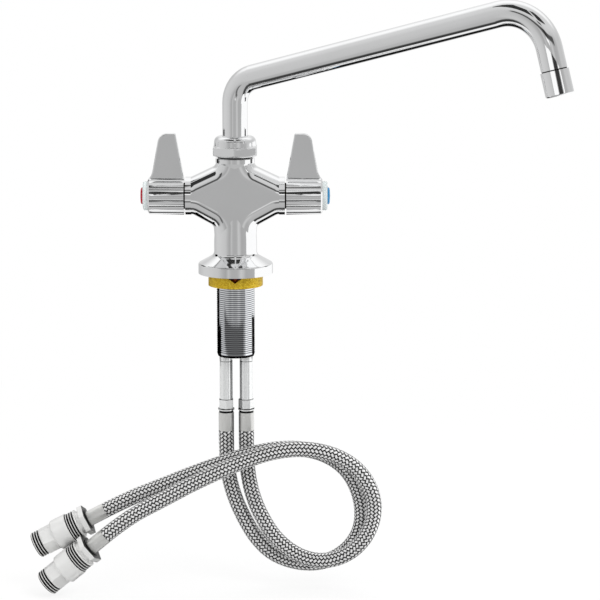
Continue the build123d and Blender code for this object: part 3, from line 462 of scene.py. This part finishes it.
def satin(name, colour, roughness, grain=(60, 60, 60), metallic=1.0):
    """Brushed or blasted metal with a fine grain."""
    material, shader, surface = new_material(name, Metallic=metallic)
    place = shader.place()
    cloud = shader.noise(place, scale=40.0, detail=3.0)
    streaks = shader.noise(shader.stretched(place, grain), scale=12.0, detail=4.0)
    shader.set(surface, "Base Color", shader.mix(streaks, scaled(colour, 0.9), colour))
    shader.set(surface, "Roughness", shader.smooth(cloud, *SPREAD, roughness, roughness + 0.1))
    shader.set(surface, "Normal", shader.bump(streaks, strength=0.15, distance=0.0002))
    return material


def brass_plate():
    """Yellow brass with a speckled finish, in shadow inside its notches."""
    material, shader, surface = new_material("locknut_brass", Metallic=LOCKNUT_METALLIC)
    place = shader.place()
    cloud = shader.noise(place, scale=55.0, detail=5.0)
    speckle = shader.noise(place, scale=900.0, detail=2.0)
    tint = shader.ramp(speckle, LOCKNUT_SPECKLE)
    inside = shader.smooth(shader.distance_from(ORIGIN, UP), *LOCKNUT_NOTCH)
    shader.set(surface, "Base Color", shader.mix(inside, LOCKNUT_SHADOW, tint))
    shader.set(surface, "Roughness", shader.smooth(cloud, *SPREAD, 0.38, 0.5))
    shader.set(surface, "Normal", shader.bump(speckle, strength=0.25, distance=0.0003))
    return material


def wire_steel():
    """Bright wire with painted shade where a bundle dives under the others."""
    material, shader, surface = new_material("braid_wire", Metallic=WIRE_METALLIC)
    place = shader.place()
    lift = shader.add("Attribute", attribute_name=LIFT).outputs["Fac"]
    cloud = shader.noise(place, scale=90.0, detail=3.0)
    speck = shader.noise(place, scale=1500.0, detail=2.0)
    bright = shader.ramp(cloud, [(0.3, 0.88), (0.7, 1.0)])
    # Painted shade where a bundle dives under the others
    shade = shader.ramp(lift, LIFT_STOPS)
    shader.set(surface, "Base Color", shader.mix(1.0, bright, shade, blend_type="MULTIPLY"))
    shader.set(surface, "Roughness", shader.smooth(speck, *SPREAD, 0.2, 0.36))
    return material


def rubber(name, colour):
    """Matt rubber with a fine grain."""
    material, shader, surface = new_material(name, Specular_IOR_Level=0.3)
    grain = shader.noise(shader.place(), scale=1200.0, detail=3.0)
    shader.set(surface, "Base Color", shader.mix(grain, colour, scaled(colour, 1.4)))
    shader.set(surface, "Roughness", shader.smooth(grain, *SPREAD, 0.55, 0.75))
    shader.set(surface, "Normal", shader.bump(grain, strength=0.2, distance=0.0002))
    return material


def plastic(name, colour, roughness):
    """Moulded plastic with a faint mottle and a soft moulded texture."""
    material, shader, surface = new_material(name)
    place = shader.place()
    mottle = shader.noise(place, scale=160.0, detail=3.0)
    texture = shader.noise(place, scale=500.0, detail=2.0)
    shader.set(surface, "Base Color", shader.mix(mottle, scaled(colour, 0.85), colour))
    shader.set(surface, "Roughness", shader.smooth(mottle, *SPREAD, roughness, roughness + 0.08))
    shader.set(surface, "Normal", shader.bump(texture, strength=0.05, distance=0.0002))
    return material


def paint(material, *names):
    """Put a material in every slot of the named pieces."""
    for name in names:
        for slot in NODES[name].material_slots:
            slot.material = material


def both(name):
    """The names of a piece on the hot side and on the cold side."""
    return f"hot_{name}", f"cold_{name}"


# Hoses: a NURBS line with a dark core, and a woven braid round it

def hose_line(side):
    """A NURBS line along a hose's route, without a thickness yet."""
    curve = bpy.data.curves.new(f"{side}_hose_core", "CURVE")
    curve.dimensions = "3D"
    spline = curve.splines.new("NURBS")
    route = ROUTES[side]
    spline.points.add(len(route) - 1)
    for point, place in zip(spline.points, route):
        point.co = (*place, 1)
    spline.order_u = HOSE_ORDER
    spline.use_endpoint_u = True
    spline.resolution_u = HOSE_STEPS
    core = bpy.data.objects.new(f"{side}_hose_core", curve)
    bpy.context.collection.objects.link(core)
    return core


def line_points(core):
    """The places along a curve as Blender draws it, before it has a thickness."""
    mesh = bpy.data.meshes.new_from_object(core)
    points = [vertex.co.copy() for vertex in mesh.vertices]
    bpy.data.meshes.remove(mesh)
    return points


class Path:
    """Places and turning frames along a line, by distance from its start."""

    def __init__(self, points):
        self.points = points
        self.starts = [0.0]
        for before, after in zip(points, points[1:]):
            self.starts.append(self.starts[-1] + (after - before).length)
        self.length = self.starts[-1]
        across = Vector((1, 0, 0))
        self.frames = []
        for before, after in zip(points, points[1:]):
            along = (after - before).normalized()
            across = (across - along * across.dot(along)).normalized()
            self.frames.append((along, across, along.cross(across)))

    def walker(self):
        """A function of distance that is quick when it is called with rising distances."""
        step = 0

        def at(distance):
            nonlocal step
            while step < len(self.frames) - 1 and distance > self.starts[step + 1]:
                step += 1
            while step > 0 and distance < self.starts[step]:
                step -= 1
            along, across, up = self.frames[step]
            return self.points[step] + along * (distance - self.starts[step]), across, up

        return at


def wire_profile():
    """Offsets across one flat bundle of wires and their heights, as a closed outline."""
    outline = []
    for step in range(2 * BRAID_WIRES + 1):
        offset = BRAID_WIDTH * (step / (2 * BRAID_WIRES) - 0.5)
        outline.append((offset, WIRE_RISE if step % 2 else WIRE_RISE * WIRE_VALLEY))
    outline.append((BRAID_WIDTH / 2, -WIRE_RISE))
    outline.append((-BRAID_WIDTH / 2, -WIRE_RISE))
    return outline


def braid(side, path):
    """Flat bundles of wires that wind both ways round the hose, over two and under two."""
    angle = math.atan(2 * math.pi * BRAID_MIDDLE / BRAID_PITCH)
    crossing = BRAID_PITCH / (2 * CARRIERS)
    steps = int(path.length / crossing) * STEPS_PER_CROSSING
    profile = wire_profile()
    count = len(profile)
    vertices = []
    heights = []
    faces = []
    for turn, phase in BRAID_PHASES.items():
        for carrier in range(CARRIERS):
            start = len(vertices)
            at = path.walker()
            for step in range(steps + 1):
                distance = path.length * step / steps
                crossings = distance / crossing
                round_angle = 2 * math.pi * (turn * distance / BRAID_PITCH + carrier / CARRIERS)
                # A whole wave takes four crossings, and the next carrier is half a wave on
                wave = math.cos(math.pi / 2 * (2 * carrier + turn * crossings - phase))
                radius = BRAID_MIDDLE + BRAID_WAVE * wave
                for offset, rise in profile:
                    along = distance - turn * offset * math.sin(angle)
                    place, across, up = at(min(max(along, 0.0), path.length))
                    spin = round_angle + offset * math.cos(angle) / BRAID_MIDDLE
                    outwards = across * math.cos(spin) + up * math.sin(spin)
                    vertices.append(place + outwards * (radius + rise))
                    heights.append(0.5 + 0.5 * wave)
            for step in range(steps):
                row = start + step * count
                for edge in range(count):
                    after = (edge + 1) % count
                    faces.append((row + edge, row + after, row + count + after,
                                  row + count + edge))
            last = start + steps * count
            faces.append(tuple(range(start + count - 1, start - 1, -1)))
            faces.append(tuple(range(last, last + count)))
    mesh = bpy.data.meshes.new(f"{side}_hose_braid")
    mesh.from_pydata([tuple(vertex) for vertex in vertices], [], faces)
    lift = mesh.attributes.new(LIFT, "FLOAT", "POINT")
    lift.data.foreach_set("value", heights)
    mesh.shade_smooth()
    weave = bpy.data.objects.new(f"{side}_hose_braid", mesh)
    bpy.context.collection.objects.link(weave)
    return weave


def add_hose(side, core_material, wire_material):
    """A braided hose in place of the plain one, with the fittings at its far end."""
    core = hose_line(side)
    path = Path(line_points(core))
    weave = braid(side, path)
    core.data.bevel_depth = BRAID_CORE
    core.data.bevel_resolution = CORE_ROUNDNESS
    core.data.use_fill_caps = True
    core.data.materials.append(core_material)
    weave.data.materials.append(wire_material)
    for piece in (core, weave):
        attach(piece, "body")
        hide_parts(f"{side}_hose")


# Studio: floor, lamps, and a world that the polished metal reflects

def seen_ray(shader):
    """1 for camera, glossy and transmission rays, else 0."""
    light = shader.add("LightPath")
    seen = shader.math("ADD", light.outputs["Is Camera Ray"], light.outputs["Is Glossy Ray"])
    return shader.math("ADD", seen, light.outputs["Is Transmission Ray"], clamp=True)


def add_floor():
    """White paper under the part, which fades into the white background."""
    mesh = bpy.data.meshes.new("floor")
    level = CAD_BOX[0][2] - FLOOR_GAP
    mesh.from_pydata(
        [(-FLOOR_REACH, -FLOOR_REACH, level), (FLOOR_REACH, -FLOOR_REACH, level),
         (FLOOR_REACH, FLOOR_REACH, level), (-FLOOR_REACH, FLOOR_REACH, level)],
        [], [(0, 1, 2, 3)])
    floor = bpy.data.objects.new("floor", mesh)
    bpy.context.collection.objects.link(floor)
    floor.visible_glossy = False
    material = bpy.data.materials.new("floor")
    material.use_nodes = True
    shader = Shader(material.node_tree)
    paper = shader.add("BsdfDiffuse", {"Color": FLOOR_PAPER})
    white = shader.add("Emission", {"Color": WHITE, "Strength": 1.0})
    away = shader.distance_from(ORIGIN, UP)
    fade = shader.smooth(away, *FLOOR_FADE, FLOOR_WHITE, 1.0)
    share = shader.math("MULTIPLY", seen_ray(shader), fade)
    mixed = shader.add("MixShader", {0: share, 1: paper.outputs[0], 2: white.outputs[0]})
    shader.add("OutputMaterial", {"Surface": mixed.outputs[0]})
    mesh.materials.append(material)


def round_the_horizon(degrees):
    """Where a direction lies on a ramp that goes once round."""
    return (degrees + 180) / 360


def studio_light(shader):
    """Brightness by direction: mostly greys, with a few white and dark patches in front."""
    parts = shader.add("SeparateXYZ", {0: shader.add("TexCoord").outputs["Generated"]}).outputs
    toward = shader.math("MULTIPLY", parts["Y"], -1.0)
    azimuth = shader.math("DEGREES", shader.math("ARCTAN2", parts["X"], toward))
    height = shader.math("DEGREES", shader.math("ARCSINE", parts["Z"]))
    turn = shader.add(
        "MapRange", {"Value": azimuth, "From Min": -180.0, "From Max": 180.0}).outputs[0]
    horizon = shader.ramp(
        turn, [(round_the_horizon(degrees), light) for degrees, light in HORIZON])
    front = shader.add("MapRange", {"Value": toward, "From Min": -1.0}).outputs[0]
    light = shader.mix(shader.smooth(height, *CEILING_EDGE), horizon, shader.ramp(front, CEILING))
    light = shader.mix(shader.smooth(height, *TABLE_EDGE), shader.ramp(front, TABLE), light)
    for left, right, low, high, level in PATCHES:
        inside = shader.math(
            "MULTIPLY", shader.between(azimuth, left, right, PATCH_SOFTNESS),
            shader.between(height, low, high, PATCH_SOFTNESS))
        light = shader.mix(inside, light, (level, level, level))
    return light


def upright(start, end, heights):
    """Corners of an upright card between two places (x, y)."""
    low, high = heights
    return [(*start, low), (*end, low), (*end, high), (*start, high)]


def add_card(name, corners, light):
    """A flat card that only the polished metal sees."""
    mesh = bpy.data.meshes.new(name)
    mesh.from_pydata(corners, [], [tuple(range(len(corners)))])
    card = bpy.data.objects.new(name, mesh)
    bpy.context.collection.objects.link(card)
    card.visible_camera = False
    card.visible_diffuse = False
    card.visible_shadow = False
    material = bpy.data.materials.new(name)
    material.use_nodes = True
    shader = Shader(material.node_tree)
    glow = shader.add("Emission", {"Color": WHITE, "Strength": light})
    shader.add("OutputMaterial", {"Surface": glow.outputs[0]})
    mesh.materials.append(material)


def set_world():
    """White to the camera, the studio to reflections, and an even light to the rest."""
    world = bpy.data.worlds.new("studio")
    bpy.context.scene.world = world
    world.use_nodes = True
    shader = Shader(world.node_tree)
    rays = shader.add("LightPath").outputs
    colour = shader.mix(rays["Is Glossy Ray"], WORLD_FILL, studio_light(shader))
    colour = shader.mix(rays["Is Camera Ray"], colour, WHITE)
    sky = shader.add("Background", {"Color": colour, "Strength": 1.0})
    shader.add("OutputWorld", {"Surface": sky.outputs[0]})


def add_lamp(name, place, size, power):
    """A square lamp that looks at the part and isn't reflected in it."""
    lamp = bpy.data.lights.new(name, "AREA")
    lamp.shape = "SQUARE"
    lamp.size = size
    lamp.energy = power
    holder = bpy.data.objects.new(name, lamp)
    bpy.context.collection.objects.link(holder)
    holder.location = place
    holder.rotation_euler = (-Vector(place)).to_track_quat("-Z", "Y").to_euler()
    holder.visible_glossy = False


# Everything

def dress():
    """Give every piece from the CAD its material."""
    paint(chrome("chrome_body", CHROME, 0.05, shaded_recess=NECK_THREAD), "body_casting")
    paint(chrome("chrome_nut", MACHINED_CHROME, 0.05, edge=NUT_EDGE), "swivel_nut")
    paint(chrome("chrome_spout", CHROME, 0.04, shaded_recess=SPOUT_THREAD), "spout_tube")
    paint(chrome("chrome_aerator", CHROME, 0.05), "aerator_housing")
    paint(chrome("chrome_handle", MACHINED_CHROME, 0.06), *both("handle"))
    paint(fine_thread(), "mounting_shank")
    paint(brass_plate(), "mounting_locknut")
    paint(satin("inner_brass", BRASS, 0.3), "spout_sleeve", *both("stem"))
    # The cartridge bodies are painted near black as shade in the gap between the arms and the
    # handles
    paint(satin("shadowed_brass", SHADOWED_BRASS, 0.5), *both("cartridge_body"))
    paint(rubber("black_rubber", BLACK_RUBBER), "base_gasket", "spout_orings",
          "aerator_gasket", *both("seat_seal"), *both("stem_oring"), *both("inlet_oring"),
          *both("adapter_washer"))
    paint(plastic("white_acetal", WHITE_ACETAL, 0.4), "spout_thrust_washer", "aerator_insert")
    paint(satin("fine_steel", FINE_STEEL, 0.3), "aerator_screen", *both("handle_screw"))
    paint(plastic("ceramic", CERAMIC, 0.2), *both("disc_fixed"), *both("disc_turning"))
    paint(plastic("cap_plastic", CAP_PLASTIC, 0.2), *both("index_cap"))
    paint(plastic("dot_red", DOT_RED, 0.12), "hot_index_dot")
    paint(plastic("dot_blue", DOT_BLUE, 0.12), "cold_index_dot")
    paint(chrome("stem_steel", TUBE_STEEL, 0.1, metallic=TUBE_METALLIC, seams=STEM_SEAMS),
          *both("hose_stem"))
    paint(chrome("collar_steel", TUBE_STEEL, 0.1, metallic=TUBE_METALLIC, seams=COLLAR_SEAMS),
          *both("stem_collar"))
    paint(satin("ferrule_steel", FERRULE_STEEL, 0.3, (400, 400, 20), FERRULE_METALLIC),
          *both("upper_ferrule"), *both("lower_ferrule"))
    for side, route in ROUTES.items():
        last, before = Vector(route[-1]), Vector(route[-2])
        axis = tuple((last - before).normalized())
        for name, grooves in CONNECTOR_GROOVES.items():
            plate = threaded_plate(
                f"{side}_{name}_plating", CONNECTOR_PLATE, tuple(last), axis, grooves)
            paint(plate, f"{side}_{name}")


add_camera()
core_rubber = rubber("hose_core", HOSE_RUBBER)
wire = wire_steel()
for side in ROUTES:
    add_hose(side, core_rubber, wire)
dress()
add_floor()
add_card("white_card", [(WHITE_CARD_PLACE, y, z) for y, z in WHITE_CARD_CORNERS], 1.0)
for name, (start, end, heights, light) in UPRIGHT_CARDS.items():
    add_card(name, upright(start, end, heights), light)
for name, (place, size, power) in LAMPS.items():
    add_lamp(name, place, size, power)
set_world()
bpy.context.scene.view_settings.view_transform = "Standard"
